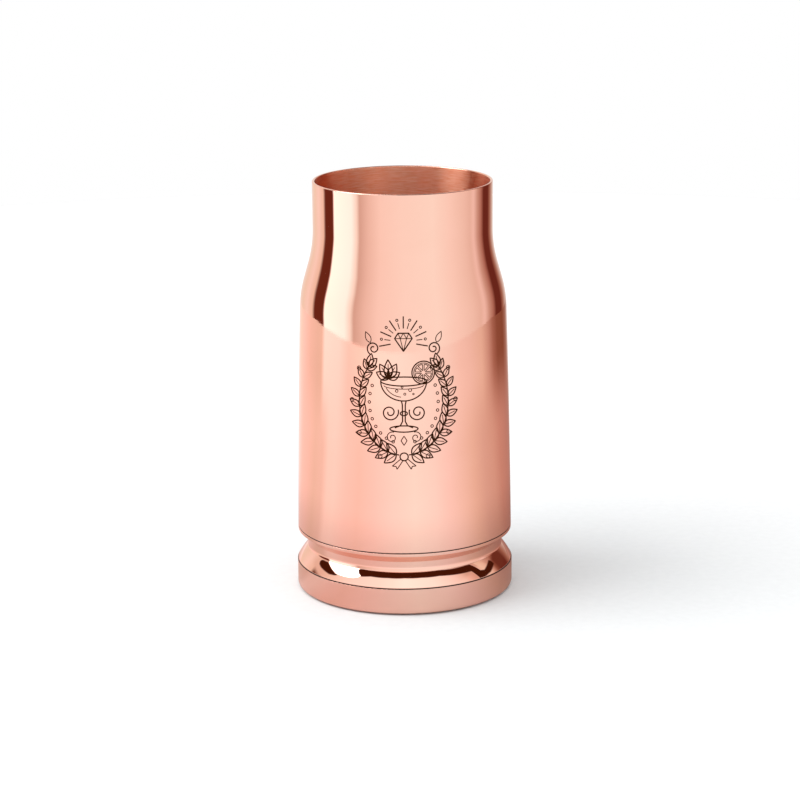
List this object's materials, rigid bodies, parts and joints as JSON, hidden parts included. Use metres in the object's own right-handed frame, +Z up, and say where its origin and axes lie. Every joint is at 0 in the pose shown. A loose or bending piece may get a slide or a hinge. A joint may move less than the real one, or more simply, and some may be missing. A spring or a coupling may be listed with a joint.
{
  "type": "cocktail shaker cup",
  "caption": "Open copper-plated cocktail shaker cup in the form of a bottle-necked cartridge case, with a grooved, rimmed base, a dished floor and a soft foot ring.",
  "frame": {"origin": "middle of the foot ring's lower face, the plane the cup stands on", "axes": "+Z up along the axis of revolution; the ornamented front of the cup faces -Y"},
  "size_m": [0.0842, 0.0842, 0.16],
  "materials": {
    "copper_plated_steel": "mirror-polished copper plating on stainless steel, clear lacquered",
    "brushed_copper_plate": "copper plating over circumferentially brushed stainless steel",
    "plain_steel": "plain stainless steel, as machined",
    "dark_gasket": "matt black rubber",
    "foot_silicone": "matt black silicone"
  },
  "bodies": {
    "root": {"casing_shell": "copper_plated_steel", "cup_floor": "brushed_copper_plate", "floor_boss": "plain_steel", "seam_gasket": "dark_gasket", "base_head": "copper_plated_steel", "clamp_washer": "plain_steel", "clamp_screw": "plain_steel", "bottom_plate": "brushed_copper_plate", "primer_cap": "copper_plated_steel", "foot_ring": "foot_silicone"}
  },
  "joints": []
}
